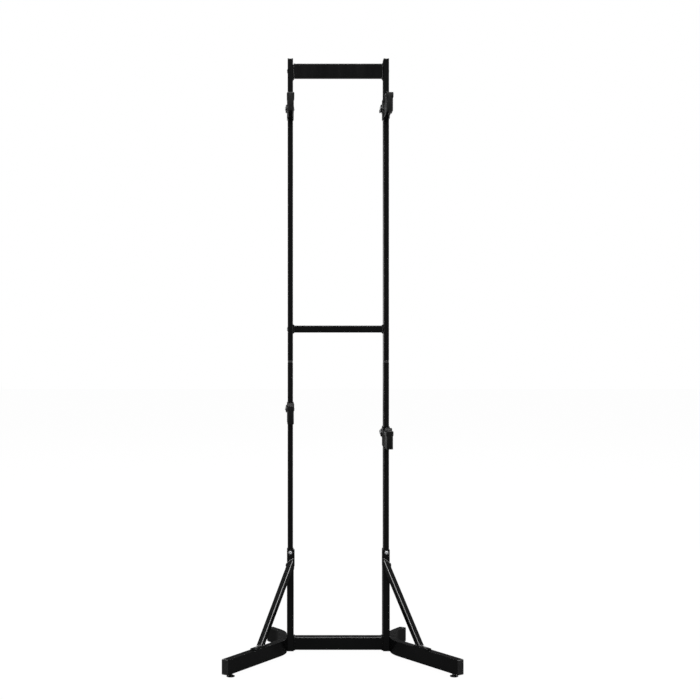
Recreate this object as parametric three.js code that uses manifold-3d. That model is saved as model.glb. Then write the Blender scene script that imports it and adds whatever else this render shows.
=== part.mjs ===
// Bike storage tower: two spliced posts on a splayed base, with four clamped cradle arms.
// Millimetres, +Z up, front towards -Y, left is -X. The origin is on the floor under the centre.
import * as THREE from 'three';
import { mergeVertices } from 'three/addons/utils/BufferGeometryUtils.js';
import Module from 'manifold-3d';

const wasm = await Module();
wasm.setup();

// Overall sizes
const overallHeight = 2111;
const postSpacing = 340;
const footHeight = 12;

// Clearances shared by all pieces, and the depth by which welded forms run into each other
const seat = 0.1;
const fit = 0.3;
const weld = 0.5;
const overrun = 5;

// Posts
const postWidth = 19;
const postDepth = 50;
const postWall = 1.6;
const tubeRadius = 2.2;
const seamHeight = 1033;
const postLift = 2;

// Joiner inside the posts
const collarHeight = 8;
const collarInset = 0.5;
const joinerBelow = 100;
const joinerPastBar = 26.6;
const joinerWall = 1.6;

// Post cap
const postCapFlange = 3;
const postCapPlug = 14;
const postCapDish = 1.4;
const plugRadius = 1;

// Sockets
const socketWall = 2;
const socketClearance = 0.5;
const socketHeight = 358;

// Legs
const legWidth = 25;
const legHeight = 50;
const legWall = 2;
const bendRadius = 116;
const bendAngle = THREE.MathUtils.degToRad(34);
const bendSteps = 7;
const legReach = 306;
const legTail = 50;

// Leg caps
const capFlange = 3;
const capPlug = 14;
const capBevel = 1;
const grooveWidth = 1.4;
const grooveDepth = 0.8;
const grooveMargin = 7;
const grooveCount = 4;

// Levelling feet, their jam nuts and the threaded blocks inside the legs
const footRadius = 14;
const footRim = 3.2;
const footNeckRadius = 6.5;
const footNeckHeight = 6.6;
const footChamfer = 0.8;
const studRadius = 4;
const studRise = 20;
const frontFootInset = 30;
const rearFootInset = 25;
const jamNutWidth = 13;
const jamNutHeight = 4.6;
const insertSide = 16;
const insertHeight = 8;

// Base crossbar
const baseBarHeight = 45;
const baseBarDepth = 38;
const baseBarWall = 2;
const basePlateMargin = 2;
const basePlateRise = 1;
const endPlate = 3;

// Mid crossbar and header panel
const midBarRise = 119.5;
const midBarHeight = 25;
const barDepth = 25;
const barWall = 1.6;
const midPlateHeight = 32;
const plateMargin = 1;
const headerDrop = 41;
const headerHeight = 50;
const headerPlateHeight = 51;
const headerPlateLowering = 4;

// Button head bolts, large, low and small
const bolt = { shank: 4, head: 7, rise: 4.4, drive: 2.9, driveDepth: 2.6, grip: 8 };
const lowBolt = { shank: 4, head: 7.5, rise: 2, drive: 2.5, driveDepth: 1.8, grip: 8 };
const smallBolt = { shank: 3, head: 5.25, rise: 3.3, drive: 2.3, driveDepth: 1.9, grip: 6 };
const boltSides = 16;
const domeAngle = THREE.MathUtils.degToRad(60);

// Braces, with their top bracket and foot tab
const braceFlange = 19;
const braceThickness = 2.5;
const braceBend = 3.5;
const braceTurn = THREE.MathUtils.degToRad(8);
const braceTopInset = 12;
const braceTopDrop = 30;
const braceAlong = 100;
const bracketPlate = 3;
const bracketPlateWidth = 25;
const bracketPlateHeight = 57;
const bracketFlange = 19;
const bracketRise = 1;
const topBoltDrop = 9;
const footTab = 4;
const footTabWidth = 23;
const footTabAhead = 51;
const footTabBehind = 22;
const footTabCorner = 4;
const footBoltAhead = 31;

// Arms
const clampClearance = 0.5;
const clampWall = 2;
const clampBodyHeight = 70;
const earHeight = 34;
const earReach = 9;
const armWidth = 19;
const armHeight = 50;
const armWall = 1.6;
const armReach = 140;
const upperArmDrop = 212;
const lowerLeftArmDrop = 210;
const lowerRightArmDrop = 296;

// Rubber cradle on the arm's end
const cradleLength = 63;
const cradleWidth = 26;
const cradleSkirt = 1.7;
const cradleFront = 4;
const cradleFloor = 4;
const cradleBrow = 4;
const frontLip = 13;
const rearLip = 20;
const frontLipThickness = 5;
const rearLipThickness = 5;
const saddleFlat = 12;
const saddleFlatStart = 26;
const lipChamfer = 2;
const cradleRadius = 3;

// Clamp across the back of the arm's bracket
const clampBack = 10;
const clampHeight = 45;
const clampHeadRadius = 6.5;
const clampHeadHeight = 2.4;
const clampChamfer = 0.8;
const clampNutWidth = 13;
const clampNutHeight = 3;
const clampFlangeRadius = 9;
const clampFlange = 1.6;
const leverDiscRadius = 14;
const leverThickness = 4;
const leverLength = 58;
const leverWidth = 13;
const leverCorner = 6;

// Sizes that follow
const socketGrowth = 2 * (socketWall + socketClearance);
const socketWidth = postWidth + socketGrowth;
const socketDepth = postDepth + socketGrowth;
const socketTop = footHeight + socketHeight;
const socketFront = -socketDepth / 2;
const postX = postSpacing / 2;
const postInnerWidth = postWidth - 2 * postWall;
const postInnerDepth = postDepth - 2 * postWall;
const upperPostStart = seamHeight + collarHeight + 2 * seat;
const upperPostEnd = overallHeight - postCapFlange - seat;
const boltHole = bolt.shank + fit;
const smallBoltHole = smallBolt.shank + fit;
const legX = postX + socketWidth / 2 + seat + legWidth / 2;
const legTop = footHeight + legHeight;
const legMiddle = footHeight + legHeight / 2;
const bendRun = bendRadius * Math.sin(bendAngle);
const bendShift = bendRadius * (1 - Math.cos(bendAngle));
const bracketFace = socketFront - seat - bracketPlate;
const bracketTop = socketTop + bracketRise;
const topBoltHeight = socketTop - topBoltDrop;
const braceTopHeight = socketTop - braceTopDrop;
const footTabTop = legTop + seat + footTab;
const clampInnerWidth = postWidth + 2 * clampClearance;
const clampBodyWidth = clampInnerWidth + 2 * clampWall;
const clampFront = postDepth / 2 + clampClearance + clampWall;
const clampRear = postDepth / 2 + clampClearance;
const clampY = clampRear + clampBack;
const armEnd = socketDepth / 2 + armReach;
const cradleTop = armHeight + seat;
const midBarCentre = seamHeight + midBarRise;
const headerCentre = overallHeight - headerDrop;
const upperArmHeight = overallHeight - upperArmDrop;
const lowerLeftArmHeight = seamHeight - lowerLeftArmDrop;
const lowerRightArmHeight = seamHeight - lowerRightArmDrop;

const paint = () => new THREE.MeshStandardMaterial({ color: 0x17181a, roughness: 0.5, metalness: 0.3 });
const zinc = () => new THREE.MeshStandardMaterial({ color: 0xb9bcc0, roughness: 0.35, metalness: 0.9 });
const blackened = () => new THREE.MeshStandardMaterial({ color: 0x1c1d1f, roughness: 0.4, metalness: 0.8 });
const steel = () => new THREE.MeshStandardMaterial({ color: 0x5b5d60, roughness: 0.4, metalness: 0.8 });
const plastic = () => new THREE.MeshStandardMaterial({ color: 0x131314, roughness: 0.6, metalness: 0 });
const rubber = () => new THREE.MeshStandardMaterial({ color: 0x0e0e0f, roughness: 0.85, metalness: 0 });

// Geometry to solid and back

function toSolid(geometry) {
  const bare = geometry.clone();
  bare.deleteAttribute('normal');
  bare.deleteAttribute('uv');
  const merged = mergeVertices(bare);
  const index = merged.index.array;
  const triangles = [];
  for (let i = 0; i < index.length; i += 3) {
    const [a, b, c] = [index[i], index[i + 1], index[i + 2]];
    if (a !== b && b !== c && c !== a) triangles.push(a, b, c);
  }
  return new wasm.Manifold(new wasm.Mesh({
    numProp: 3,
    vertProperties: new Float32Array(merged.attributes.position.array),
    triVerts: new Uint32Array(triangles),
  }));
}

function toGeometry(solid) {
  const mesh = solid.getMesh();
  const geometry = new THREE.BufferGeometry();
  geometry.setAttribute('position', new THREE.BufferAttribute(new Float32Array(mesh.vertProperties), 3));
  geometry.setIndex(new THREE.BufferAttribute(new Uint32Array(mesh.triVerts), 1));
  geometry.computeVertexNormals();
  return geometry;
}

function join(...geometries) {
  return toGeometry(geometries.map(toSolid).reduce((whole, part) => whole.add(part)));
}

function cut(geometry, ...tools) {
  return toGeometry(tools.map(toSolid).reduce((rest, tool) => rest.subtract(tool), toSolid(geometry)));
}

function common(geometry, other) {
  return toGeometry(toSolid(geometry).intersect(toSolid(other)));
}

// The same form on the other side of the plane X = 0
function mirrored(geometry) {
  const copy = toGeometry(toSolid(geometry));
  copy.scale(-1, 1, 1);
  const index = copy.index.array;
  for (let i = 0; i < index.length; i += 3) {
    const first = index[i];
    index[i] = index[i + 1];
    index[i + 1] = first;
  }
  copy.computeVertexNormals();
  return copy;
}

// Basic forms

function roundedOutline(width, depth, radius, steps = 3) {
  const points = [];
  const corners = [[1, 1], [-1, 1], [-1, -1], [1, -1]];
  corners.forEach(([sx, sy], quarter) => {
    const [x, y] = [sx * (width / 2 - radius), sy * (depth / 2 - radius)];
    for (let i = 0; i <= steps; i += 1) {
      const angle = (quarter + i / steps) * Math.PI / 2;
      points.push(new THREE.Vector2(x + radius * Math.cos(angle), y + radius * Math.sin(angle)));
    }
  });
  return points;
}

function rectangle(width, depth) {
  const [x, y] = [width / 2, depth / 2];
  return [[x, y], [-x, y], [-x, -y], [x, -y]].map(([px, py]) => new THREE.Vector2(px, py));
}

function prism(points, length) {
  return new THREE.ExtrudeGeometry(new THREE.Shape(points), { depth: length, bevelEnabled: false });
}

function beveledPrism(points, length, bevel) {
  const options = {
    depth: length - 2 * bevel, bevelThickness: bevel, bevelSize: bevel, bevelOffset: -bevel, bevelSegments: 2,
  };
  return new THREE.ExtrudeGeometry(new THREE.Shape(points), options).translate(0, 0, bevel);
}

function box(width, depth, height, x, y, z) {
  return new THREE.BoxGeometry(width, depth, height).translate(x, y, z);
}

// A straight rectangular tube up Z from zero, open at both ends
function squareTube(width, depth, wall, length) {
  const outer = prism(roundedOutline(width, depth, tubeRadius), length);
  const bore = prism(rectangle(width - 2 * wall, depth - 2 * wall), length + 2 * overrun);
  return cut(outer, bore.translate(0, 0, -overrun));
}

function rodX(radius, x, y, z, length, sides = boltSides) {
  return new THREE.CylinderGeometry(radius, radius, length, sides).rotateZ(Math.PI / 2).translate(x, y, z);
}

function rodY(radius, x, y, z, length, sides = boltSides) {
  return new THREE.CylinderGeometry(radius, radius, length, sides).translate(x, y, z);
}

function rodZ(radius, x, y, z, length, sides = boltSides) {
  return new THREE.CylinderGeometry(radius, radius, length, sides).rotateX(Math.PI / 2).translate(x, y, z);
}

function turned(profile, sides) {
  return new THREE.LatheGeometry(profile.map(([r, y]) => new THREE.Vector2(r, y)), sides);
}

// Turns a form made along +Y to point along a direction, and moves it
function aimed(geometry, direction, position) {
  const turn = new THREE.Quaternion().setFromUnitVectors(new THREE.Vector3(0, 1, 0), direction);
  return geometry.applyQuaternion(turn).translate(position.x, position.y, position.z);
}

// A button head bolt whose head rests on a face at zero and whose shank runs down -Y
function boltForm(size, length) {
  const chamfer = size.shank / 5;
  const domeSteps = 3;
  const rim = size.rise * (1 - Math.sin(domeAngle));
  const profile = [[0, -length], [size.shank - chamfer, -length], [size.shank, chamfer - length]];
  profile.push([size.shank, 0], [size.head, 0]);
  for (let i = 0; i <= domeSteps; i += 1) {
    const angle = i / domeSteps * domeAngle;
    profile.push([size.head * Math.cos(angle), rim + size.rise * Math.sin(angle)]);
  }
  profile.push([0, profile.at(-1)[1]]);
  const drive = new THREE.CylinderGeometry(size.drive, size.drive, 2 * size.driveDepth, 6);
  return cut(turned(profile, boltSides), drive.translate(0, size.rise, 0));
}

// A hexagon nut up Y from zero
function nutForm(width, height, bore) {
  const outer = new THREE.CylinderGeometry(width / Math.sqrt(3), width / Math.sqrt(3), height, 6);
  const hole = new THREE.CylinderGeometry(bore, bore, height + 2 * overrun, boltSides);
  return cut(outer.translate(0, height / 2, 0), hole.translate(0, height / 2, 0));
}

// The leg's centreline in plan, for the right side. Distance zero is where the bend ends.

const forward = new THREE.Vector3(Math.sin(bendAngle), -Math.cos(bendAngle), 0);
const rearward = new THREE.Vector3(Math.sin(bendAngle), Math.cos(bendAngle), 0);
const frontStart = new THREE.Vector3(legX + bendShift, -socketDepth / 2 - bendRun, legMiddle);
const rearStart = new THREE.Vector3(legX + bendShift, socketDepth / 2 + bendRun, legMiddle);

function frontPoint(distance, z) {
  return frontStart.clone().addScaledVector(forward, distance).setZ(z);
}

function rearPoint(distance, z) {
  return rearStart.clone().addScaledVector(rearward, distance).setZ(z);
}

// One long edge of the leg in plan, at an offset from the centreline, from the front end to the rear
function legEdge(offset, extra) {
  const points = [];
  const bend = (end) => {
    for (let i = 0; i <= bendSteps; i += 1) {
      const share = end < 0 ? 1 - i / bendSteps : i / bendSteps;
      const angle = share * bendAngle;
      const radius = bendRadius - offset;
      const x = legX + bendRadius - radius * Math.cos(angle);
      points.push(new THREE.Vector2(x, end * (socketDepth / 2 + radius * Math.sin(angle))));
    }
  };
  const tip = frontPoint(legReach + extra, 0);
  const tail = rearPoint(legTail + extra, 0);
  points.push(new THREE.Vector2(tip.x - forward.y * offset, tip.y + forward.x * offset));
  bend(-1);
  bend(1);
  points.push(new THREE.Vector2(tail.x + rearward.y * offset, tail.y - rearward.x * offset));
  return points;
}

function legBand(width, height, extra) {
  const outline = [...legEdge(width / 2, extra), ...legEdge(-width / 2, extra).reverse()];
  return prism(outline, height).translate(0, 0, legMiddle - height / 2);
}

const frontFootPoint = frontPoint(legReach - frontFootInset, footHeight);
const rearFootPoint = rearPoint(legTail - rearFootInset, footHeight);
const footBoltPoint = frontPoint(braceAlong + footBoltAhead, footTabTop + seat);

function legForm() {
  const hollow = legBand(legWidth - 2 * legWall, legHeight - 2 * legWall, overrun);
  const tube = cut(legBand(legWidth, legHeight, 0), hollow);
  const insertZ = footHeight + legWall + insertHeight / 2 - weld;
  const insertPlaces = [[frontFootPoint, bendAngle], [rearFootPoint, -bendAngle]];
  const inserts = insertPlaces.map(([point, angle]) => {
    const block = new THREE.BoxGeometry(insertSide, insertSide, insertHeight);
    return block.rotateZ(angle).translate(point.x, point.y, insertZ);
  });
  const studHoles = [frontFootPoint, rearFootPoint].map((point) => (
    rodZ(studRadius + fit, point.x, point.y, insertZ, 2 * (insertHeight + overrun))
  ));
  const tabHole = rodZ(smallBoltHole, footBoltPoint.x, footBoltPoint.y, legTop, 2 * overrun);
  const sideHole = rodX(boltHole, legX, 0, legMiddle, legWidth + 2 * overrun);
  return cut(join(tube, ...inserts), ...studHoles, tabHole, sideHole);
}

// A plug with a ribbed flange, made along +Y, whose flange rests on the tube's end at zero
function legCapForm() {
  const flange = beveledPrism(roundedOutline(legWidth, legHeight, tubeRadius), capFlange, capBevel);
  const plugWidth = legWidth - 2 * (legWall + fit);
  const plugHeight = legHeight - 2 * (legWall + fit);
  const plug = prism(roundedOutline(plugWidth, plugHeight, plugRadius), capPlug + weld);
  plug.translate(0, 0, -capPlug);
  const grooves = [];
  for (let i = 1; i <= grooveCount; i += 1) {
    const x = legWidth * (i / (grooveCount + 1) - 1 / 2);
    grooves.push(box(grooveWidth, legHeight - 2 * grooveMargin, 2 * grooveDepth, x, 0, capFlange));
  }
  return cut(join(flange, plug), ...grooves).rotateX(-Math.PI / 2);
}

function levellingFoot(point) {
  const top = footHeight + studRise;
  const profile = [
    [0, 0], [footRadius - footChamfer, 0], [footRadius, footChamfer], [footRadius, footRim],
    [footNeckRadius, footNeckHeight], [studRadius, footNeckHeight], [studRadius, top - footChamfer],
    [studRadius - footChamfer, top], [0, top],
  ];
  return aimed(turned(profile, 20), new THREE.Vector3(0, 0, 1), new THREE.Vector3(point.x, point.y, 0));
}

function jamNut(point) {
  const place = new THREE.Vector3(point.x, point.y, footHeight - seat - jamNutHeight);
  return aimed(nutForm(jamNutWidth, jamNutHeight, studRadius + fit), new THREE.Vector3(0, 0, 1), place);
}

function socketForm() {
  const tube = squareTube(socketWidth, socketDepth, socketWall, socketHeight).translate(postX, 0, footHeight);
  const frontHole = rodY(boltHole, postX, socketFront, topBoltHeight, 2 * overrun);
  return cut(tube, frontHole, rodX(boltHole, postX, 0, legMiddle, socketWidth + 2 * overrun));
}

// Angle section with its outer corner rounded, flanges along +X and +Y
function angleOutline() {
  const points = [[braceFlange, 0], [braceFlange, braceThickness], [braceThickness, braceThickness]];
  points.push([braceThickness, braceFlange], [0, braceFlange]);
  const steps = 4;
  for (let i = 0; i <= steps; i += 1) {
    const angle = Math.PI * (1 + i / steps / 2);
    points.push([braceBend * (1 + Math.cos(angle)), braceBend * (1 + Math.sin(angle))]);
  }
  return points.map(([x, y]) => new THREE.Vector2(x, y));
}

// Sloping angle whose corner line runs from the top bracket's face to the foot tab's top
function slopingAngle(top, foot) {
  const down = foot.clone().sub(top).normalize();
  const face = new THREE.Vector3(-Math.sin(braceTurn), -Math.cos(braceTurn), 0);
  const corner = face.addScaledVector(down, -face.dot(down)).normalize();
  const sideways = new THREE.Vector3().crossVectors(corner, down).normalize();
  const outer = sideways.clone().sub(corner).normalize();
  const inner = sideways.clone().negate().sub(corner).normalize();
  const along = new THREE.Vector3().crossVectors(outer, inner);
  const length = foot.distanceTo(top) + 2 * legHeight;
  const middle = top.clone().add(foot).multiplyScalar(1 / 2);
  const place = new THREE.Matrix4().makeBasis(outer, inner, along).setPosition(middle);
  return prism(angleOutline(), length).translate(0, 0, -length / 2).applyMatrix4(place);
}

function braceForm() {
  const top = new THREE.Vector3(postX - braceTopInset, bracketFace, braceTopHeight);
  const foot = frontPoint(braceAlong, footTabTop);
  const reach = 2 * legReach;
  const behind = box(reach, reach, reach, postX, bracketFace + weld + reach / 2, braceTopHeight);
  const below = box(reach, reach, reach, foot.x, foot.y, footTabTop - weld - reach / 2);
  const angle = cut(slopingAngle(top, foot), behind, below);

  const inside = postX - socketWidth / 2 - seat;
  const plateX = inside - bracketPlate + bracketPlateWidth / 2;
  const plateY = bracketFace + bracketPlate / 2;
  const bracketZ = bracketTop - bracketPlateHeight / 2;
  const flangeDepth = bracketFlange + bracketPlate;
  const flangeX = inside - bracketPlate / 2;
  const flangeY = bracketFace + flangeDepth / 2;
  const plate = box(bracketPlateWidth, bracketPlate, bracketPlateHeight, plateX, plateY, bracketZ);
  const flange = box(bracketPlate, flangeDepth, bracketPlateHeight, flangeX, flangeY, bracketZ);

  const tabLength = footTabAhead + footTabBehind;
  const tabMiddle = frontPoint(braceAlong + (footTabAhead - footTabBehind) / 2, legTop + seat);
  const tab = prism(roundedOutline(footTabWidth, tabLength, footTabCorner), footTab);
  tab.rotateZ(bendAngle).translate(tabMiddle.x, tabMiddle.y, tabMiddle.z);
  const topHole = rodY(boltHole, postX, plateY, topBoltHeight, bracketPlate + 2 * overrun);
  const footHole = rodZ(smallBoltHole, footBoltPoint.x, footBoltPoint.y, legTop, 2 * (footTab + overrun));
  return cut(join(angle, plate, flange, tab), topHole, footHole);
}

function lowerPostForm() {
  const bottom = footHeight + postLift;
  const tube = squareTube(postWidth, postDepth, postWall, seamHeight - bottom).translate(postX, 0, bottom);
  const frontHole = rodY(boltHole, postX, -postDepth / 2, topBoltHeight, 2 * overrun);
  return cut(tube, frontHole, rodX(boltHole, postX, 0, legMiddle, postWidth + 2 * overrun));
}

function upperPostForm() {
  const length = upperPostEnd - upperPostStart;
  const tube = squareTube(postWidth, postDepth, postWall, length).translate(postX, 0, upperPostStart);
  const holes = [midBarCentre, headerCentre].map((z) => rodX(boltHole, postX, 0, z, postWidth + 2 * overrun));
  return cut(tube, ...holes);
}

function joinerForm() {
  const width = postInnerWidth - 2 * fit;
  const depth = postInnerDepth - 2 * fit;
  const bottom = seamHeight + seat - joinerBelow;
  const length = midBarCentre + joinerPastBar - bottom;
  const sleeve = prism(rectangle(width, depth), length).translate(postX, 0, bottom);
  const collarOutline = roundedOutline(postWidth - 2 * collarInset, postDepth - 2 * collarInset, tubeRadius);
  const collar = prism(collarOutline, collarHeight).translate(postX, 0, seamHeight + seat);
  const bore = prism(rectangle(width - 2 * joinerWall, depth - 2 * joinerWall), length + 2 * overrun);
  bore.translate(postX, 0, bottom - overrun);
  return cut(join(sleeve, collar), bore, rodX(boltHole, postX, 0, midBarCentre, postWidth + 2 * overrun));
}

function postCapForm() {
  const underside = overallHeight - postCapFlange;
  const flange = prism(roundedOutline(postWidth, postDepth, tubeRadius), postCapFlange);
  const plugOutline = roundedOutline(postInnerWidth - 2 * fit, postInnerDepth - 2 * fit, plugRadius);
  const plug = prism(plugOutline, postCapPlug + weld).translate(0, 0, -postCapPlug);
  const halfWidth = (postWidth - plugRadius) / 2;
  const dishRadius = (halfWidth ** 2 + postCapDish ** 2) / (2 * postCapDish);
  const dish = rodY(dishRadius, 0, 0, postCapFlange + dishRadius - postCapDish, postDepth + 2 * overrun, 48);
  return cut(join(flange, plug), dish).translate(postX, 0, underside);
}

// A crossbar between two faces, with an end plate on each end and a bolt hole in each plate
function crossbarForm(span, z, height, depth, wall, plateHeight, plateDepth, plateLowering = 0) {
  const inner = span - 2 * seat;
  const barLength = inner - 2 * endPlate + 2 * weld;
  const bar = squareTube(depth, height, wall, barLength).translate(0, 0, -barLength / 2);
  bar.rotateX(Math.PI / 2).rotateZ(Math.PI / 2).translate(0, 0, z);
  const plates = [-1, 1].map((side) => (
    box(endPlate, plateDepth, plateHeight, side * (inner - endPlate) / 2, 0, z - plateLowering)
  ));
  const holes = [-1, 1].map((side) => rodX(boltHole, side * inner / 2, 0, z, 2 * (endPlate + overrun)));
  return cut(join(bar, ...plates), ...holes);
}

// One clamped arm, made for a post at X = 0 with its underside at Z = 0

function armForm() {
  const wrapDepth = clampFront + clampRear;
  const earDepth = clampBack + earReach + weld;
  const wrap = box(
    clampBodyWidth, wrapDepth, clampBodyHeight, 0, clampRear - wrapDepth / 2, clampBodyHeight / 2,
  );
  const ears = box(clampBodyWidth, earDepth, earHeight, 0, clampRear - weld + earDepth / 2, clampHeight);
  const slotDepth = wrapDepth + earDepth;
  const slot = box(
    clampInnerWidth, slotDepth, clampBodyHeight + 2 * overrun, 0,
    clampWall - clampFront + slotDepth / 2, clampBodyHeight / 2,
  );
  const length = armEnd - clampFront - cradleFront - seat + weld;
  const beam = squareTube(armWidth, armHeight, armWall, length).rotateX(Math.PI / 2);
  beam.translate(0, weld - clampFront, armHeight / 2);
  const hole = rodX(boltHole, 0, clampY, clampHeight, clampBodyWidth + 2 * overrun);
  return cut(join(cut(join(wrap, ears), slot), beam), hole);
}

// Side view of the saddle: a front lip, a round trough with a flat floor and a higher rear lip
function saddleOutline() {
  const flatEnd = saddleFlatStart + saddleFlat;
  const floor = cradleTop + cradleFloor;
  const [frontTop, rearTop] = [cradleTop + frontLip, cradleTop + rearLip];
  const rearRun = cradleLength - rearLipThickness - flatEnd;
  const frontRun = saddleFlatStart - frontLipThickness;
  const steps = 6;
  const points = [[0, cradleTop - cradleBrow], [0, frontTop - lipChamfer], [lipChamfer, frontTop]];
  for (let i = 0; i <= steps; i += 1) {
    const angle = (1 - i / steps) * Math.PI / 2;
    points.push([
      saddleFlatStart - frontRun * Math.sin(angle), floor + (frontTop - floor) * (1 - Math.cos(angle)),
    ]);
  }
  for (let i = 0; i <= steps; i += 1) {
    const angle = i / steps * Math.PI / 2;
    points.push([flatEnd + rearRun * Math.sin(angle), floor + (rearTop - floor) * (1 - Math.cos(angle))]);
  }
  points.push([cradleLength - lipChamfer, rearTop], [cradleLength, rearTop - lipChamfer]);
  points.push([cradleLength, cradleTop - cradleBrow]);
  return points.map(([y, z]) => new THREE.Vector2(y - armEnd, z));
}

function cradleForm() {
  const sideView = new THREE.Matrix4().makeBasis(
    new THREE.Vector3(0, 1, 0), new THREE.Vector3(0, 0, 1), new THREE.Vector3(1, 0, 0),
  );
  const saddle = prism(saddleOutline(), cradleWidth);
  saddle.translate(0, 0, -cradleWidth / 2).applyMatrix4(sideView);
  const faceHeight = 2 * (rearLip + cradleBrow);
  const face = prism(roundedOutline(cradleWidth, faceHeight, cradleRadius), cradleLength + 2 * overrun);
  face.rotateX(Math.PI / 2);
  face.translate(0, cradleLength + overrun - armEnd, cradleTop + rearLip - faceHeight / 2);
  const skirtWidth = armWidth + 2 * (seat + cradleSkirt);
  const skirt = prism(roundedOutline(skirtWidth, cradleLength, cradleRadius), cradleTop);
  skirt.translate(0, cradleLength / 2 - armEnd, 0);
  const roomLength = cradleLength + overrun;
  const roomHeight = cradleTop + overrun;
  const room = box(
    armWidth + 2 * seat, roomLength, roomHeight,
    0, cradleFront + roomLength / 2 - armEnd, cradleTop - roomHeight / 2,
  );
  return cut(join(common(saddle, face), skirt), room);
}

// The clamp pieces: the lever and the bolt's head on the -X side, the nut on the +X side

function clampBoltForm() {
  const headFace = clampBodyWidth / 2 + leverThickness + 2 * seat;
  const length = headFace + clampBodyWidth / 2 + seat + clampNutHeight;
  const profile = [
    [0, -length], [studRadius - clampChamfer, -length], [studRadius, clampChamfer - length], [studRadius, 0],
    [clampHeadRadius, 0], [clampHeadRadius, clampHeadHeight - clampChamfer],
    [clampHeadRadius - clampChamfer, clampHeadHeight], [0, clampHeadHeight],
  ];
  const place = new THREE.Vector3(-headFace, clampY, clampHeight);
  return aimed(turned(profile, boltSides), new THREE.Vector3(-1, 0, 0), place);
}

function clampNutForm() {
  const flange = new THREE.CylinderGeometry(clampFlangeRadius, clampFlangeRadius, clampFlange, boltSides);
  const hexagon = nutForm(clampNutWidth, clampNutHeight, boltHole);
  const bore = new THREE.CylinderGeometry(boltHole, boltHole, clampFlange + 2 * overrun, boltSides);
  const nut = cut(join(hexagon, flange.translate(0, clampFlange / 2, 0)), bore);
  const place = new THREE.Vector3(clampBodyWidth / 2 + seat, clampY, clampHeight);
  return aimed(nut, new THREE.Vector3(1, 0, 0), place);
}

function leverForm() {
  const x = -(clampBodyWidth / 2 + seat + leverThickness / 2);
  const disc = rodX(leverDiscRadius, x, clampY, clampHeight, leverThickness, 28);
  const handle = prism(roundedOutline(leverWidth, leverLength, leverCorner, 4), leverThickness);
  handle.translate(0, leverLength / 2, -leverThickness / 2).rotateY(Math.PI / 2);
  handle.translate(x, clampY, clampHeight);
  return cut(join(disc, handle), rodX(boltHole, x, clampY, clampHeight, leverThickness + 2 * overrun));
}

// Assembly

const stand = new THREE.Group();

function put(name, geometry, material) {
  const mesh = new THREE.Mesh(geometry, material);
  mesh.name = name;
  stand.add(mesh);
  return mesh;
}

const rightForms = {
  leg: [legForm(), paint],
  socket: [socketForm(), paint],
  brace: [braceForm(), paint],
  lower_post: [lowerPostForm(), paint],
  upper_post: [upperPostForm(), paint],
  post_joiner: [joinerForm(), steel],
  post_cap: [postCapForm(), plastic],
  front_leg_cap: [aimed(legCapForm(), forward, frontPoint(legReach + seat, legMiddle)), plastic],
  rear_leg_cap: [aimed(legCapForm(), rearward, rearPoint(legTail + seat, legMiddle)), plastic],
  front_foot: [levellingFoot(frontFootPoint), plastic],
  rear_foot: [levellingFoot(rearFootPoint), plastic],
  front_foot_nut: [jamNut(frontFootPoint), zinc],
  rear_foot_nut: [jamNut(rearFootPoint), zinc],
};

const outward = new THREE.Vector3(1, 0, 0);
const toFront = new THREE.Vector3(0, -1, 0);
const upward = new THREE.Vector3(0, 0, 1);
const legFace = legX + legWidth / 2 + seat;
const postFace = postX + postWidth / 2 + seat;
const sideBoltLength = postWidth + endPlate + lowBolt.grip;
const baseBoltLength = legFace - (postX - socketWidth / 2) + endPlate + lowBolt.grip;
const baseBoltPoint = new THREE.Vector3(legFace, 0, legMiddle);
const midBoltPoint = new THREE.Vector3(postFace, 0, midBarCentre);
const headerBoltPoint = new THREE.Vector3(postFace, 0, headerCentre);
const topBoltPoint = new THREE.Vector3(postX, bracketFace - seat, topBoltHeight);
const topBoltLength = bracketPlate + socketWall + socketClearance + postWall + bolt.grip;
const footBoltLength = footTab + legWall + smallBolt.grip;

const rightBolts = {
  base_bolt: [lowBolt, baseBoltLength, outward, baseBoltPoint, blackened],
  mid_crossbar_bolt: [lowBolt, sideBoltLength, outward, midBoltPoint, blackened],
  header_bolt: [lowBolt, sideBoltLength, outward, headerBoltPoint, blackened],
  brace_top_bolt: [bolt, topBoltLength, toFront, topBoltPoint, zinc],
  brace_foot_bolt: [smallBolt, footBoltLength, upward, footBoltPoint, zinc],
};

for (const [side, handed] of [['left', mirrored], ['right', (geometry) => geometry]]) {
  for (const [name, [geometry, finish]] of Object.entries(rightForms)) {
    put(`${side}_${name}`, handed(geometry), finish());
  }
  for (const [name, [size, length, direction, point, finish]] of Object.entries(rightBolts)) {
    put(`${side}_${name}`, handed(aimed(boltForm(size, length), direction, point)), finish());
  }
}

const socketGap = postSpacing - socketWidth;
const postGap = postSpacing - postWidth;
const basePlateDepth = baseBarDepth + 2 * basePlateMargin;
const basePlateHeight = baseBarHeight + 2 * basePlateRise;
const barPlateDepth = barDepth + 2 * plateMargin;
put('base_crossbar', crossbarForm(
  socketGap, legMiddle, baseBarHeight, baseBarDepth, baseBarWall, basePlateHeight, basePlateDepth,
), paint());
put('mid_crossbar', crossbarForm(
  postGap, midBarCentre, midBarHeight, barDepth, barWall, midPlateHeight, barPlateDepth,
), paint());
put('header_panel', crossbarForm(
  postGap, headerCentre, headerHeight, barDepth, barWall, headerPlateHeight, barPlateDepth,
  headerPlateLowering,
), paint());

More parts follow.
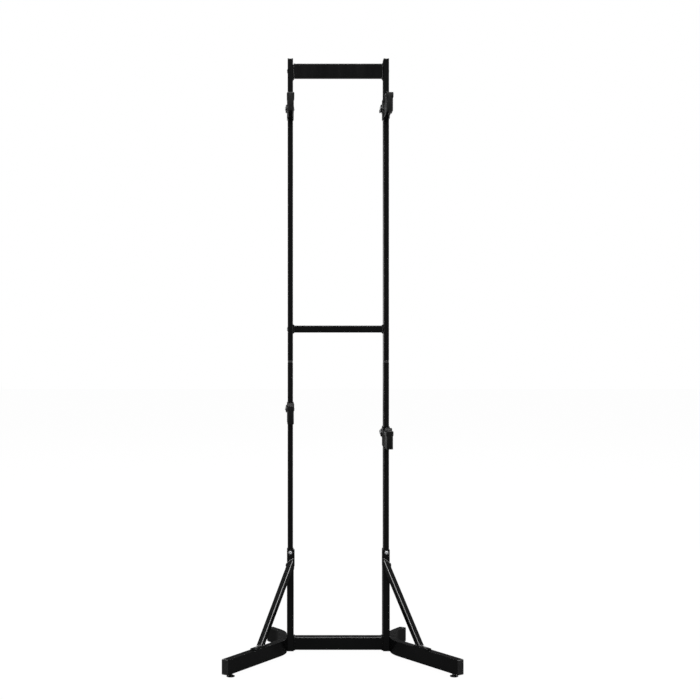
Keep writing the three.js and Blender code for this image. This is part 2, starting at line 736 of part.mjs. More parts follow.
const arms = {
  upper_left: [-postX, upperArmHeight],
  upper_right: [postX, upperArmHeight],
  lower_left: [-postX, lowerLeftArmHeight],
  lower_right: [postX, lowerRightArmHeight],
};
const armPieces = {
  arm: [armForm(), paint],
  cradle: [cradleForm(), rubber],
  clamp_bolt: [clampBoltForm(), zinc],
  clamp_nut: [clampNutForm(), zinc],
  clamp_lever: [leverForm(), plastic],
};
for (const [arm, [x, z]] of Object.entries(arms)) {
  for (const [piece, [geometry, finish]] of Object.entries(armPieces)) {
    put(`${arm}_${piece}`, geometry, finish()).position.set(x, 0, z);
  }
}

// The middle of the footprint is put at the origin
const capEdge = capFlange + seat;
const halfLeg = legWidth / 2 * Math.sin(bendAngle);
const frontReach = -frontPoint(legReach + capEdge, 0).y + halfLeg;
const rearReach = rearPoint(legTail + capEdge, 0).y + halfLeg;
stand.position.y = (frontReach - rearReach) / 2;

export default stand;
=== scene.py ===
# Bike storage tower: finishes, fine pieces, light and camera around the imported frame.
# Metres, +Z up, front towards -Y, left is -X.
import math

import bmesh
import bpy
from mathutils import Matrix, Vector


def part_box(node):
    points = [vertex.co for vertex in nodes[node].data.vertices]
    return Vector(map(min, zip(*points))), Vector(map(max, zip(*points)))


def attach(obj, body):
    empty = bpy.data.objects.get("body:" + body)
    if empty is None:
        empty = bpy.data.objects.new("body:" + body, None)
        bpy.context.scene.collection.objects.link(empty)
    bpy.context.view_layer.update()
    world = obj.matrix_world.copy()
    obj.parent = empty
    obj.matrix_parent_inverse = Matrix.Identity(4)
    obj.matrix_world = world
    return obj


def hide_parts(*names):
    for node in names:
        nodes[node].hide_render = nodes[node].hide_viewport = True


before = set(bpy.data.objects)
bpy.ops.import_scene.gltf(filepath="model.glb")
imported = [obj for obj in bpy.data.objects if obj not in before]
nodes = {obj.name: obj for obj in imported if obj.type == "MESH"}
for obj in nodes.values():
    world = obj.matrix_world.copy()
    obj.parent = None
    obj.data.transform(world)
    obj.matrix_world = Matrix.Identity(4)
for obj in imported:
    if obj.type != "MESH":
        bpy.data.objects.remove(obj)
scene = bpy.context.scene
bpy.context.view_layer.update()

OUTWARD = {"left": -1, "right": 1}
ENDS = ("front", "rear")
ARMS = ("upper_left", "upper_right", "lower_left", "lower_right")
CROSSWISE_PARTS = ("base_crossbar", "mid_crossbar", "header_panel")
FORWARD = (0, -1, 0)
UP = (0, 0, 1)
FULL_TURN = 2 * math.pi
QUARTER_TURN = math.pi / 2
SIXTH_TURN = math.pi / 3

# Camera: its lens and sensor are in millimetres, and its shift is a share of the frame's width
CAMERA_PLACE = Vector((-0.195, -4.320, 1.078))
CAMERA_LENS = 63.95
CAMERA_SENSOR = 36
CAMERA_SHIFT_SHARE = 0.0953

# Studio: for all light but the camera's own, the floor's grey changes between two distances aside
WHITE = (1, 1, 1, 1)
WHITE_LEVEL = 1.0
FLOOR_SIZE = 60.0
FLOOR_GREY = 0.87
FLOOR_LIT_SHARE = 0.02
FLOOR_DISTANCES = (1.2, 4.0)
FLOOR_GREYS = (0.06, 0.9)

# World: a band is a range of one part of the direction, and the light at its two ends
WORLD_LEVEL = 0.03
LOW_BAND = ((0.2, 0.08), (0, 1))
SIDE_BAND = ((0.5, 0.95), (0, 1.1))
REAR_BAND = ((0.3, 0.9), (0, 0.35))
FRONT_BAND = ((-0.4, -0.9), (0, 0.08))
TOP_BAND = ((0.35, 0.9), (0, 0.4))

# Lights: two upright strips and a high panel at the front and at the rear, with powers in watts
STRIP_ASIDE = 2.4
STRIP_DISTANCE = 2.2
STRIP_HEIGHT = 1.4
STRIP_TARGET = (0, 0, 1.0)
STRIP_SIZE = (0.3, 2.4)
FRONT_STRIP_POWER = 10
REAR_STRIP_POWER = 30
PANEL_DISTANCE = 7.2
PANEL_HEIGHT = 7.5
PANEL_TARGET = (0, 0, 0.4)
FRONT_PANEL_SIZE = (9.6, 2.4)
FRONT_PANEL_POWER = 1500
REAR_PANEL_SIZE = (9.0, 2.4)
REAR_PANEL_POWER = 700

# Finishes: the detail of each noise, and the noise levels between which colour and gloss change
SLOW_DETAIL = 4.0
WORN_DETAIL = 3.0
FINE_DETAIL = 2.0
WORN_SCALE = 4
COLOUR_LEVELS = (0.3, 0.75)
GLOSS_LEVELS = (0.3, 0.7)

# Meshes
MERGE = 1e-5
FLAT_ANGLE = math.radians(1)
CREASE_ANGLE = math.radians(35)
BRACE_CREASE_ANGLE = math.radians(24)
EDGE_ANGLE = math.radians(50)
EDGE_WIDTH = 0.0005
EDGE_STEPS = 4
CIRCLE_POINTS = 48
FINE_CIRCLE_POINTS = 96
NORMAL_REACH = 2

# Weld beads
BEAD_SIZE = 0.0024
SMALL_BEAD_SIZE = 0.002
BRACE_BEAD_SIZE = 0.0042
BEAD_BULGE_SHARE = 0.45
BRACE_BULGE_SHARE = 1
BEAD_SINK = 0.0003
BEAD_STEPS = 5
RIPPLE_LENGTH = 0.0022
RIPPLE_SAMPLES = 6
RIPPLE_SHARE = 0.09
FEWEST_RIPPLES = 8
SLICE_GAP = 0.0003
END_PLATE = 0.003
TAB_RISE = 0.0041

# Button head bolts: the shank, the head's rise, the drive and its depth, as shares of the head's radius
BUTTON_SHARES = (0.571, 0.6286, 0.4, 0.4)
LOW_SHARES = (0.5333, 0.2667, 0.3333, 0.24)
TIP_CHAMFER_SHARE = 0.2
HEAD_LIP_SHARE = 0.04
DRIVE_FLOOR_SHARE = 1 / 3
DOME_ANGLE = math.radians(60)
DOME_STEPS = 8

# Threads and nuts
THREAD_PITCH = 0.00125
THREAD_DEPTH_SHARE = 0.14
THREAD_SAMPLES = 6
THREAD_POINTS = 24
THREAD_FIT = 0.00005
NUT_CHAMFER = math.radians(30)
BORE_EDGE_SHARE = 0.1

# Cradles, measured from the arm's underside and from the cradle's front
SEAT = 0.0501
BROW = 0.004
SADDLE_FLOOR = 0.004
SADDLE_SLICE = 0.0005
FRONT_LIP = 0.013
REAR_LIP = 0.020
LIP = 0.005
LIP_STEPS = 12
FLAT_START = 0.026
FLAT_END = 0.038
ARM_HALF = 0.0096
SKIRT = 0.0017
SKIRT_EDGE = SKIRT / 3
SKIRT_OVERLAP = 0.0005
SKIRT_STEPS = 10
FRONT_WALL = 0.004
FRONT_STEP = 0.0006
FRONT_BULGE = 0.0045
BULGE_POWER = 2.3
BULGE_FLAT_SHARE = 0.35
PAD_EDGE = 0.0025
PAD_EDGE_SHARE = 0.4
PAD_EDGE_STEPS = 5
PAD_LOW_EDGE = PAD_EDGE / 4
SLOT_SHARE = 0.8
CROWN_SHARE = 1 / 3
CROWN_RISE = PAD_EDGE / 8
RIB_PITCH = 0.003
RIB_HEIGHT = 0.0005

# Clamp levers, bolts and nuts
LEVER_HALF = 0.0065
LEVER_EDGE = 0.0012
LEVER_EDGE_STEPS = 4
LEVER_BORE = 0.0043
LEVER_SAMPLES = 1440
LEVER_POINTS = 180
MOUTH_SHARE = 1 / 3
BLEND_POWER = 10
GRIP_COUNT = 6
GRIP_RADIUS = 0.001
GRIP_LENGTH = 1.4 * LEVER_HALF
GRIP_SINK = GRIP_RADIUS / 4
GRIP_SPACING = 0.0045
GRIP_POINTS = 16
GRIP_STEPS = 5
GRIP_TIP_SHARE = 0.05
BOSS_RADIUS = 0.0098
BOSS_SINK = 0.0006
BOSS_RISE = BOSS_SINK / 4
CLAMP_SHANK = 0.004
CLAMP_HEAD = 0.0024
CLAMP_HEAD_EDGE_SHARE = 1 / 12
CLAMP_DRIVE = 0.003
CLAMP_DRIVE_DEPTH = 0.002
NUT_INNER = 0.0065
NUT_FLANGE = 0.0016
NUT_FLANGE_SHARE = 1.2

# A lever is drawn flat with its handle along X, and turned so that X, Y and Z become +Y, -Z and -X
LEVER_TURN = Matrix(((0, 0, -1, 0), (1, 0, 0, 0), (0, -1, 0, 0), (0, 0, 0, 1)))

# Levelling feet
FOOT_RIM = 0.0032
FOOT_NECK = 0.0065
FOOT_NECK_TOP = 0.0066
FOOT_CHAMFER = 0.0008
FOOT_SOLE_EDGE = 3 * FOOT_CHAMFER
FOOT_FLARE_EDGE = 2 * FOOT_CHAMFER
FOOT_FLARE_STEPS = 6
SCALLOPS = 12
SCALLOP_DEPTH = 0.0007
STUD = 0.004


# Node trees

def shader(tree, kind, inputs=None, **settings):
    """A new node with its settings, and each input linked to a socket or set to a value."""
    made = tree.nodes.new(kind)
    for key, value in settings.items():
        setattr(made, key, value)
    for key, value in (inputs or {}).items():
        if isinstance(value, bpy.types.NodeSocket):
            tree.links.new(value, made.inputs[key])
        else:
            made.inputs[key].default_value = value
    return made


def noise(tree, coords, scale, detail, stretch=(1, 1, 1)):
    spread = shader(tree, "ShaderNodeMapping", {"Vector": coords, "Scale": stretch}).outputs[0]
    inputs = {"Vector": spread, "Scale": scale, "Detail": detail}
    return shader(tree, "ShaderNodeTexNoise", inputs).outputs["Fac"]


def ranged(tree, value, source, target):
    """A value carried over from one range to another, and held within it."""
    limits = zip(("From Min", "From Max", "To Min", "To Max"), (*source, *target))
    return shader(tree, "ShaderNodeMapRange", {"Value": value, **dict(limits)}).outputs[0]


def ramp(tree, value, places, colours):
    made = shader(tree, "ShaderNodeValToRGB", {"Fac": value})
    for element, place, colour in zip(made.color_ramp.elements, places, colours):
        element.position = place
        element.color = (*colour, 1)
    return made.outputs["Color"]


def computed(tree, operation, *values):
    inputs = dict(enumerate(values))
    return shader(tree, "ShaderNodeMath", inputs, operation=operation).outputs[0]


def mixed(tree, share, first, second):
    inputs = {"Fac": share, 1: first.outputs[0], 2: second.outputs[0]}
    return shader(tree, "ShaderNodeMixShader", inputs)


def split_for_camera(tree, others, camera):
    """One shader for what the camera sees straight on, and another for all other light."""
    path = shader(tree, "ShaderNodeLightPath").outputs["Is Camera Ray"]
    return mixed(tree, path, others, camera)


# Finishes

def grey(level, tint=0.0):
    """A grey that leans towards blue by the tint."""
    return (level * (1 - tint), level, level * (1 + tint))


def finish(name, low, high, rough, metallic=0.0, grain=900.0, depth=0.0002, strength=0.3, streak=(1, 1, 1),
           broad=9.0, specular=0.5):
    """A finish with slow changes of colour and gloss, and a fine bump."""
    made = bpy.data.materials.new(name)
    made.use_nodes = True
    tree = made.node_tree
    shine = tree.nodes["Principled BSDF"]
    coords = shader(tree, "ShaderNodeTexCoord").outputs["Object"]
    slow = noise(tree, coords, broad, SLOW_DETAIL)
    worn = noise(tree, coords, WORN_SCALE * broad, WORN_DETAIL, streak)
    fine = noise(tree, coords, grain, FINE_DETAIL)
    tree.links.new(ramp(tree, slow, COLOUR_LEVELS, (low, high)), shine.inputs["Base Color"])
    tree.links.new(ranged(tree, worn, GLOSS_LEVELS, rough), shine.inputs["Roughness"])
    bump = shader(tree, "ShaderNodeBump", {"Height": fine, "Strength": strength, "Distance": depth})
    tree.links.new(bump.outputs["Normal"], shine.inputs["Normal"])
    shine.inputs["Metallic"].default_value = metallic
    shine.inputs["Specular IOR Level"].default_value = specular
    return made


FINISHES = {
    "powder_coat": finish(
        "satin_powder_coat", grey(0.0012, 0.04), grey(0.0022, 0.05), (0.13, 0.18), strength=0.05,
        streak=(1, 1, 0.05), specular=0.4,
    ),
    "powder_coat_dark": finish(
        "dark_powder_coat", grey(0.0015), grey(0.0025), (0.2, 0.26), strength=0.05,
        streak=(1, 1, 0.05), specular=0.3,
    ),
    "joiner_steel": finish(
        "phosphated_steel", grey(0.06), grey(0.09), (0.34, 0.42), metallic=1.0, grain=1500.0,
        depth=0.0001,
    ),
    "black_steel": finish(
        "black_plated_steel", grey(0.03), grey(0.05), (0.3, 0.4), metallic=1.0, grain=2500.0,
        depth=0.00004,
    ),
    "zinc": finish(
        "zinc_plate", grey(0.4, 0.02), grey(0.5, 0.02), (0.52, 0.62), metallic=1.0, grain=2500.0,
        depth=0.00004, broad=120.0,
    ),
    # A darker copy of the zinc plate for the brace's foot bolts: painted shade that dims their highlight,
    # on the same zinc as the top bolts
    "painted_shade_zinc": finish(
        "zinc_plate_with_painted_shade", grey(0.07), grey(0.1), (0.5, 0.6), metallic=1.0, grain=2500.0,
        depth=0.00004, broad=120.0,
    ),
    "moulded_plastic": finish(
        "grained_plastic", grey(0.007), grey(0.011), (0.3, 0.4), grain=2200.0, depth=0.00015,
        broad=30.0,
    ),
    "rubber": finish(
        "matt_rubber", grey(0.002), grey(0.0035), (0.32, 0.42), grain=1400.0, depth=0.0002,
        broad=40.0, specular=0.2,
    ),
}


# Meshes from rings of points

def skin(rings, wrap=False):
    """Points and faces of rings of equal count, joined in order, with closed ends unless it wraps."""
    count = len(rings[0])
    points = [Vector(point) for ring in rings for point in ring]
    faces = []
    for row in range(len(rings) if wrap else len(rings) - 1):
        low = row * count
        high = (row + 1) % len(rings) * count
        for i in range(count):
            j = (i + 1) % count
            faces.append((low + i, low + j, high + j, high + i))
    if not wrap:
        faces.append(tuple(reversed(range(count))))
        faces.append(tuple(range(len(points) - count, len(points))))
    return points, faces


def placed(part, matrix):
    points, faces = part
    return [matrix @ point for point in points], faces


def aimed(direction, place):
    """A turn of Z to a direction, then a move to a place."""
    turn = Vector(direction).to_track_quat("Z", "Y").to_matrix().to_4x4()
    return Matrix.Translation(place) @ turn


def make_piece(name, parts, slot, body, stands_for=(), look=None):
    """A piece from its parts, in the finish of its slot unless it has a look of its own, such as a darker
    copy of its finish that paints shade on it.
    """
    points = []
    faces = []
    for part_points, part_faces in parts:
        start = len(points)
        points += [tuple(point) for point in part_points]
        faces += [tuple(start + i for i in face) for face in part_faces]
    mesh = bpy.data.meshes.new(name)
    mesh.from_pydata(points, [], faces)
    work = bmesh.new()
    work.from_mesh(mesh)
    bmesh.ops.recalc_face_normals(work, faces=work.faces)
    work.to_mesh(mesh)
    work.free()
    mesh.shade_smooth()
    mesh.set_sharp_from_angle(angle=CREASE_ANGLE)
    mesh.materials.append(FINISHES[look or slot])
    piece = bpy.data.objects.new(name, mesh)
    scene.collection.objects.link(piece)
    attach(piece, body)
    if stands_for:
        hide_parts(*stands_for)


def full_turns(count):
    return [FULL_TURN * i / count for i in range(count)]


def quarter_turns(steps):
    return [QUARTER_TURN * i / steps for i in range(steps + 1)]


def polar(radius, turn, height):
    return (radius * math.cos(turn), radius * math.sin(turn), height)


def circle(radius, height, count=CIRCLE_POINTS):
    return [polar(radius, turn, height) for turn in full_turns(count)]


def hexagon_radius(inner, turn):
    """Distance from the middle of a hexagon to its edge. The inner radius is that of its flats."""
    return inner / math.cos((turn + SIXTH_TURN / 2) % SIXTH_TURN - SIXTH_TURN / 2)


def hexagon(inner, height):
    return [polar(hexagon_radius(inner, turn), turn, height) for turn in full_turns(CIRCLE_POINTS)]


# Weld beads along the outline where a plane cuts a node

def slice_outline(name, point, normal):
    """The longest outline of a node's slice."""
    work = bmesh.new()
    work.from_mesh(nodes[name].data)
    bmesh.ops.remove_doubles(work, verts=work.verts, dist=MERGE)
    everything = work.verts[:] + work.edges[:] + work.faces[:]
    cut = bmesh.ops.bisect_plane(work, geom=everything, plane_co=point, plane_no=normal)
    work.verts.index_update()
    links = {}
    for edge in cut["geom_cut"]:
        if isinstance(edge, bmesh.types.BMEdge):
            first, second = sorted(vert.index for vert in edge.verts)
            links.setdefault(first, []).append(second)
            links.setdefault(second, []).append(first)
    work.verts.ensure_lookup_table()
    places = {index: work.verts[index].co.copy() for index in links}
    work.free()
    return max(traced_outlines(links, places), key=outline_length)


def traced_outlines(links, places):
    """Every closed outline, as points in order, from the links between the points' numbers."""
    outlines = []
    seen = set()
    for start in sorted(links, key=lambda index: tuple(places[index])):
        if start in seen:
            continue
        outline = [start]
        seen.add(start)
        while True:
            onward = [index for index in sorted(links[outline[-1]]) if index not in seen]
            if not onward:
                break
            outline.append(onward[0])
            seen.add(onward[0])
        outlines.append([places[index] for index in outline])
    return outlines


def outline_length(outline):
    return sum((a - b).length for a, b in zip(outline, outline[1:] + outline[:1]))


def even_outline(outline, count):
    """Points at even steps along a closed outline."""
    total = outline_length(outline)
    spans = []
    travelled = 0
    for a, b in zip(outline, outline[1:] + outline[:1]):
        spans.append((travelled, (b - a).length, a, b))
        travelled += (b - a).length
    points = []
    row = 0
    for i in range(count):
        along = total * i / count
        while along > spans[row][0] + spans[row][1]:
            row += 1
        start, length, a, b = spans[row]
        points.append(a.lerp(b, (along - start) / length))
    return points


def outward_normals(points, axis):
    """Directions out of a closed outline, at right angles to the axis, each a mean of its neighbours'."""
    count = len(points)
    area = sum((points[i].cross(points[(i + 1) % count]) for i in range(count)), Vector())
    side = 1 if area.dot(axis) > 0 else -1
    sharp = []
    for i in range(count):
        tangent = points[(i + 1) % count] - points[i - 1]
        sharp.append((tangent.cross(axis) * side).normalized())
    reach = range(-NORMAL_REACH, NORMAL_REACH + 1)
    return [sum((sharp[(i + k) % count] for k in reach), Vector()).normalized() for i in range(count)]


def bead(name, point, normal, along, size=BEAD_SIZE, bulge=BEAD_BULGE_SHARE):
    """A rippled fillet weld round a node's slice. along is the direction up the welded piece."""
    normal = Vector(normal)
    along = Vector(along).normalized()
    outline = slice_outline(name, point, normal)
    ripples = max(FEWEST_RIPPLES, round(outline_length(outline) / RIPPLE_LENGTH))
    points = even_outline(outline, ripples * RIPPLE_SAMPLES)
    rings = []
    for i, (corner, outward) in enumerate(zip(points, outward_normals(points, normal))):
        base = corner - normal * SLICE_GAP
        ripple = abs(math.sin(math.pi * i / RIPPLE_SAMPLES))
        width = size * (1 - RIPPLE_SHARE + RIPPLE_SHARE * ripple)
        ring = [base - (outward + along) * BEAD_SINK, base + outward * width - along * BEAD_SINK]
        for turn in quarter_turns(BEAD_STEPS):
            flat = 1 / (math.cos(turn) + math.sin(turn))
            share = flat + (1 - flat) * bulge
            ring.append(base + (outward * math.cos(turn) + along * math.sin(turn)) * width * share)
        ring.append(base + along * width - outward * BEAD_SINK)
        rings.append(ring)
    return skin(rings, wrap=True)


# Fasteners

def box_along(name, direction):
    """Length along a direction, the half width across it, and the point at its end, from a node's box."""
    low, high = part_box(name)
    direction = Vector(direction)
    size = high - low
    axis = max(range(3), key=lambda i: abs(direction[i]))
    across = max(size[i] for i in range(3) if i != axis) / 2
    end = (low + high) / 2 + direction * size[axis] / 2
    return size[axis], across, end


def button_bolt(name, direction, shares):
    """A bolt with a domed head and a hexagon drive."""
    length, head, end = box_along(name, direction)
    shank, rise, drive, depth = (head * share for share in shares)
    chamfer = shank * TIP_CHAMFER_SHARE
    lip = head * HEAD_LIP_SHARE
    rim = rise * (1 - math.sin(DOME_ANGLE))
    tip = rise - length
    rings = [
        circle(shank - chamfer, tip), circle(shank, tip + chamfer), circle(shank, 0),
        circle(head - lip, 0),
    ]
    for i in range(DOME_STEPS + 1):
        turn = DOME_ANGLE * i / DOME_STEPS
        rings.append(circle(head * math.cos(turn), rim + rise * math.sin(turn)))
    rings += [
        circle((head * math.cos(DOME_ANGLE) + drive) / 2, rise), hexagon(drive + lip, rise),
        hexagon(drive, rise - lip), hexagon(drive, rise - depth),
        circle(drive * DRIVE_FLOOR_SHARE, rise - depth - lip),
    ]
    return placed(skin(rings), aimed(direction, end - Vector(direction) * rise))


def flat_bolt(name, direction):
    """A bolt with a flat round head and a hexagon drive."""
    length, head, end = box_along(name, direction)
    edge = head * CLAMP_HEAD_EDGE_SHARE
    tip = CLAMP_HEAD - length
    drive_floor = CLAMP_HEAD - CLAMP_DRIVE_DEPTH
    rings = [
        circle(CLAMP_SHANK - edge, tip), circle(CLAMP_SHANK, tip + edge), circle(CLAMP_SHANK, 0),
        circle(head - edge, 0), circle(head, edge), circle(head, CLAMP_HEAD - edge),
        circle(head - edge, CLAMP_HEAD), hexagon(CLAMP_DRIVE + edge / 2, CLAMP_HEAD),
        hexagon(CLAMP_DRIVE, CLAMP_HEAD - edge / 2), hexagon(CLAMP_DRIVE, drive_floor),
        circle(CLAMP_DRIVE * DRIVE_FLOOR_SHARE, drive_floor - edge),
    ]
    return placed(skin(rings), aimed(direction, end - Vector(direction) * CLAMP_HEAD))


def thread(radius, start, end):
    """A threaded rod up Z between two heights, with chamfered ends."""
    depth = radius * THREAD_DEPTH_SHARE
    rows = round((end - start) / THREAD_PITCH * THREAD_SAMPLES)
    rings = [circle(radius - 2 * depth, start, THREAD_POINTS)]
    for row in range(1, rows):
        height = start + (end - start) * row / rows
        edge = min(1, (height - start) / THREAD_PITCH, (end - height) / THREAD_PITCH)
        ring = []
        for i, turn in enumerate(full_turns(THREAD_POINTS)):
            phase = (height / THREAD_PITCH - i / THREAD_POINTS) % 1
            crest = 1 - abs(2 * phase - 1)
            reach = radius - depth * (1 - crest) - depth * (1 - edge)
            ring.append(polar(reach, turn, height))
        rings.append(ring)
    rings.append(circle(radius - 2 * depth, end, THREAD_POINTS))
    return skin(rings)


def chamfered_hexagon(inner, height, inward):
    """The edge of a hexagon's end, cut back towards its corners by the chamfer's cone."""
    ring = []
    for x, y, _ in hexagon(inner, 0):
        drop = (math.hypot(x, y) - inner) * math.tan(NUT_CHAMFER)
        ring.append((x, y, height + inward * drop))
    return ring


def jam_nut(inner, bore, height):
    """A nut up Z with both ends chamfered."""
    edge = bore * BORE_EDGE_SHARE
    rings = [
        circle(bore + edge, 0), circle(inner, 0), chamfered_hexagon(inner, 0, 1),
        chamfered_hexagon(inner, height, -1), circle(inner, height), circle(bore + edge, height),
        circle(bore, height - edge), circle(bore, edge),
    ]
    return skin(rings, wrap=True)


def flange_nut(name, direction):
    """A nut with a round flange below it that slopes up to its flats."""
    height, flange, end = box_along(name, direction)
    bore = CLAMP_SHANK + THREAD_FIT
    edge = bore * BORE_EDGE_SHARE
    rings = [
        circle(bore + edge, 0), circle(flange - edge, 0), circle(flange, edge),
        circle(flange, NUT_FLANGE / 2), circle(NUT_INNER * NUT_FLANGE_SHARE, NUT_FLANGE),
        hexagon(NUT_INNER, NUT_FLANGE), chamfered_hexagon(NUT_INNER, height, -1),
        circle(NUT_INNER - edge, height), circle(bore + edge, height),
        circle(bore, height - edge), circle(bore, edge),
    ]
    return placed(skin(rings, wrap=True), aimed(direction, end - Vector(direction) * height))


# Dressing the frame's own nodes

def smoothing(crease):
    """A node group that shades every face smooth but keeps each crease that turns more than an angle."""
    group = bpy.data.node_groups.new("smoothing", "GeometryNodeTree")
    for direction in ("INPUT", "OUTPUT"):
        group.interface.new_socket("Geometry", in_out=direction, socket_type="NodeSocketGeometry")
    start = shader(group, "NodeGroupInput")
    angle = shader(group, "GeometryNodeInputMeshEdgeAngle").outputs["Unsigned Angle"]
    sharp = shader(group, "FunctionNodeCompare", {0: angle, 1: crease}, operation="GREATER_THAN")
    faces = {"Geometry": start.outputs[0], "Shade Smooth": True}
    smooth = shader(group, "GeometryNodeSetShadeSmooth", faces, domain="FACE")
    edges = {"Geometry": smooth.outputs[0], "Selection": sharp.outputs[0], "Shade Smooth": False}
    creased = shader(group, "GeometryNodeSetShadeSmooth", edges, domain="EDGE")
    shader(group, "NodeGroupOutput", {0: creased.outputs[0]})
    return group


SMOOTHING = smoothing(CREASE_ANGLE)
BRACE_SMOOTHING = smoothing(BRACE_CREASE_ANGLE)


def dress(name, slot, edge=EDGE_WIDTH, group=SMOOTHING):
    """A finish, soft edges and even shading for a node of the frame."""
    node = nodes[name]
    for material_slot in node.material_slots:
        material_slot.material = FINISHES[slot]
    merge = node.modifiers.new("merge", "WELD")
    merge.merge_threshold = MERGE
    flatten = node.modifiers.new("flatten", "DECIMATE")
    flatten.decimate_type = "DISSOLVE"
    flatten.angle_limit = FLAT_ANGLE
    soften = node.modifiers.new("soften", "BEVEL")
    soften.limit_method = "ANGLE"
    soften.angle_limit = EDGE_ANGLE
    soften.width = edge
    soften.segments = EDGE_STEPS
    soften.use_clamp_overlap = True
    node.modifiers.new("smooth", "NODES").node_group = group
    weigh = node.modifiers.new("weigh", "WEIGHTED_NORMAL")
    weigh.keep_sharp = True


def dress_frame():
    for side in OUTWARD:
        for part in ("leg", "socket", "upper_post"):
            dress(f"{side}_{part}", "powder_coat")
        dress(f"{side}_brace", "powder_coat", group=BRACE_SMOOTHING)
        dress(f"{side}_lower_post", "powder_coat_dark")
        dress(f"{side}_post_joiner", "joiner_steel")
        dress(f"{side}_post_cap", "moulded_plastic")
        for end in ENDS:
            dress(f"{side}_{end}_leg_cap", "moulded_plastic", EDGE_WIDTH / 2)
    for part in CROSSWISE_PARTS:
        dress(part, "powder_coat")
    for arm in ARMS:
        dress(f"{arm}_arm", "powder_coat")


# Welds

def crossbar_welds():
    for part in CROSSWISE_PARTS:
        low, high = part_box(part)
        middle = (low + high) / 2
        for side, outward in OUTWARD.items():
            plate = low.x if outward < 0 else high.x
            face = plate - outward * (END_PLATE + SLICE_GAP)
            point = Vector((face, middle.y, middle.z))
            normal = (-outward, 0, 0)
            make_piece(f"{part}_{side}_weld", [bead(part, point, normal, normal)], "powder_coat", "stand")


def arm_welds():
    for arm in ARMS:
        name = f"{arm}_arm"
        low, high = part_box(name)
        face = arm_bracket_front(name)
        point = Vector(((low.x + high.x) / 2, face - SLICE_GAP, low.z))
        parts = [bead(name, point, FORWARD, FORWARD, SMALL_BEAD_SIZE)]
        make_piece(f"{arm}_arm_weld", parts, "powder_coat", f"{arm}_carriage")


def arm_bracket_front(name):
    """The arm bracket's front face: the foremost place as wide as the whole arm piece."""
    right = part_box(name)[1].x
    return min(vert.co.y for vert in nodes[name].data.vertices if vert.co.x > right - MERGE)


def brace_welds():
    for side in OUTWARD:
        name = f"{side}_brace"
        bolt_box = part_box(f"{side}_brace_top_bolt")
        tab_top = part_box(f"{side}_leg")[1].z + TAB_RISE
        top_point = Vector((0, brace_bracket_front(bolt_box) - SLICE_GAP, 0))
        foot_point = Vector((0, 0, tab_top + SLICE_GAP))
        top_outline = slice_outline(name, top_point, Vector(FORWARD))
        foot_outline = slice_outline(name, foot_point, Vector(UP))
        along = middle_of(top_outline) - middle_of(foot_outline)
        parts = [
            bead(name, top_point, FORWARD, -along, BRACE_BEAD_SIZE, BRACE_BULGE_SHARE),
            bead(name, foot_point, UP, along, SMALL_BEAD_SIZE),
        ]
        make_piece(f"{side}_brace_welds", parts, "powder_coat", "stand")


def brace_bracket_front(bolt_box):
    """The brace bracket's front face, which the top bolt's head rests on."""
    low, high = bolt_box
    head = (high.x - low.x) / 2
    return low.y + head * BUTTON_SHARES[1] + MERGE


def middle_of(outline):
    return sum(outline, Vector()) / len(outline)


# Stand bolts

def stand_bolts():
    for side, outward in OUTWARD.items():
        side_bolts = ("base_bolt", "mid_crossbar_bolt", "header_bolt")
        kinds = [(part, (outward, 0, 0), LOW_SHARES, "black_steel", None) for part in side_bolts]
        kinds.append(("brace_top_bolt", FORWARD, BUTTON_SHARES, "zinc", None))
        # The foot bolts are zinc plate like the top bolts, drawn in a darker copy of it that paints shade
        # on them
        kinds.append(("brace_foot_bolt", UP, BUTTON_SHARES, "zinc", "painted_shade_zinc"))
        for part, direction, shares, slot, look in kinds:
            name = f"{side}_{part}"
            make_piece(f"{name}_fine", [button_bolt(name, direction, shares)], slot, "stand", [name], look)


# Clamp levers

def lever_radius(turn, disc, reach):
    """Distance from the pivot to the lever's edge: a disc and a round ended handle, blended."""
    along = reach - LEVER_HALF
    slope = abs(math.sin(turn))
    if math.cos(turn) < 0:
        handle = LEVER_HALF
    elif slope * along < LEVER_HALF * math.cos(turn):
        handle = along * math.cos(turn) + math.sqrt(LEVER_HALF ** 2 - (along * slope) ** 2)
    else:
        handle = LEVER_HALF / slope
    return (disc ** BLEND_POWER + handle ** BLEND_POWER) ** (1 / BLEND_POWER)


def lever_outline(disc, reach):
    dense = []
    for i in range(LEVER_SAMPLES):
        turn = FULL_TURN * (i + 0.5) / LEVER_SAMPLES
        dense.append(Vector(polar(lever_radius(turn, disc, reach), turn, 0)))
    return even_outline(dense, LEVER_POINTS)


def hole_ring(outline, radius, height):
    """A ring round a hole, with each point in line with a point of the outline."""
    return [Vector(polar(radius, math.atan2(point.y, point.x), height)) for point in outline]


def inset_ring(outline, normals, depth, height):
    return [point - normal * depth + Vector((0, 0, height)) for point, normal in zip(outline, normals)]


def rounded_plate(outline, thickness, edge, bore):
    """A flat piece up Z with rounded edges and a round hole, from an outline seen whole from the hole."""
    normals = outward_normals(outline, Vector(UP))
    half = thickness / 2
    lower = []
    upper = []
    for turn in quarter_turns(LEVER_EDGE_STEPS):
        depth = edge * (1 - math.sin(turn))
        height = half - edge * (1 - math.cos(turn))
        lower.append(inset_ring(outline, normals, depth, -height))
        upper.append(inset_ring(outline, normals, depth, height))
    chamfer = edge * MOUTH_SHARE
    mouth = [
        hole_ring(outline, bore + chamfer, half), hole_ring(outline, bore, half - chamfer),
        hole_ring(outline, bore, chamfer - half),
    ]
    return skin([hole_ring(outline, bore + chamfer, -half), *lower, *reversed(upper), *mouth], wrap=True)


def capsule(radius, length):
    """A round ended rod up Z, centred on the origin."""
    turns = quarter_turns(GRIP_STEPS)
    rings = []
    for end, order in ((-1, turns), (1, reversed(turns))):
        for turn in order:
            spread = max(math.sin(turn), GRIP_TIP_SHARE)
            height = end * (length / 2 - radius + radius * math.cos(turn))
            rings.append(circle(radius * spread, height, GRIP_POINTS))
    return skin(rings)


